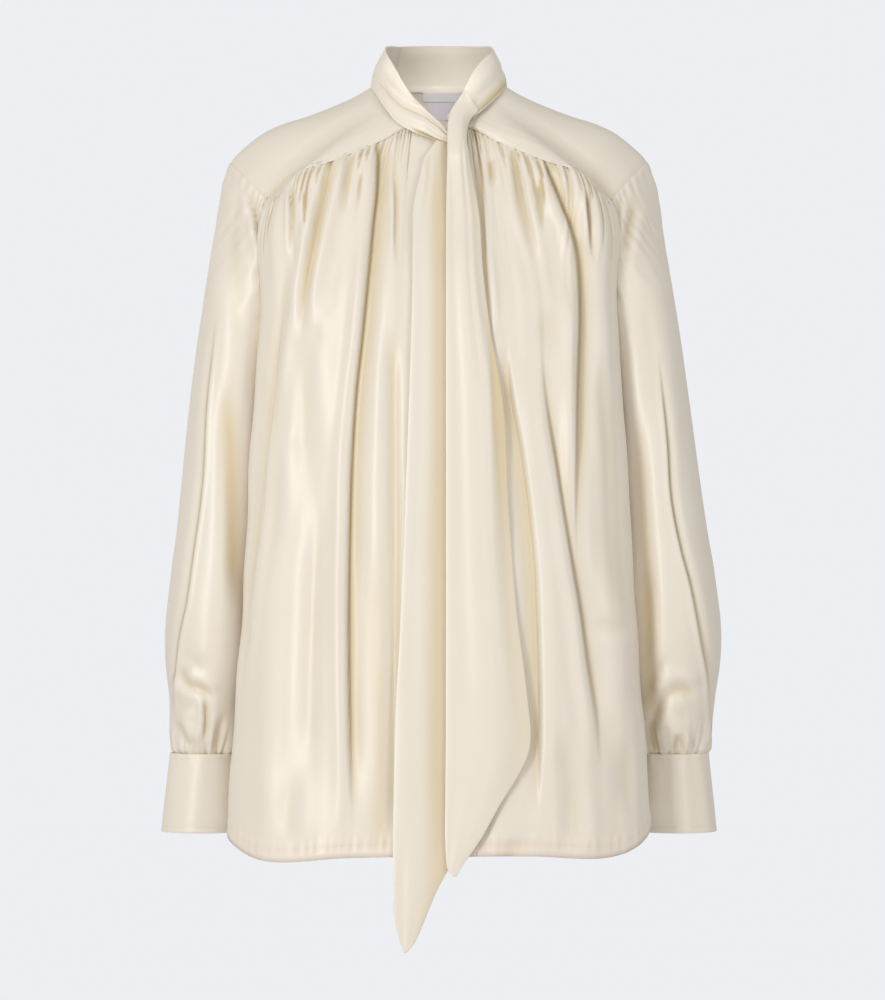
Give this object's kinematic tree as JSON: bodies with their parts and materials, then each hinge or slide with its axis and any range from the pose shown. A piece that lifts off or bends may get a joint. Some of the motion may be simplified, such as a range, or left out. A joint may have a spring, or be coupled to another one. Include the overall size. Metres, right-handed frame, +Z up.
{
  "type": "blouse",
  "caption": "Loose long-sleeved satin blouse in worn form, with a gathered yoke, stand collar, long neck ties and deep buttoned cuffs.",
  "frame": {"origin": "middle of the neck base, where the wearer's neck and shoulders hold the blouse", "axes": "+Z up, the front faces -Y, the wearer's left is +X"},
  "size_m": [0.5422, 0.2921, 0.87],
  "materials": {
    "satin": "ivory satin, soft sheen",
    "label": "plain woven",
    "size_tab": "plain woven",
    "button": "glossy"
  },
  "bodies": {
    "root": {"yoke": "satin", "front_right": "satin", "front_left": "satin", "back": "satin", "collar": "satin", "tie_over": "satin", "tie_under": "satin", "sleeve_left": "satin", "sleeve_right": "satin", "cuff_left": "satin", "cuff_right": "satin", "label": "label", "size_tab": "size_tab", "cuff_button_left": "button", "cuff_button_right": "button"}
  },
  "joints": []
}
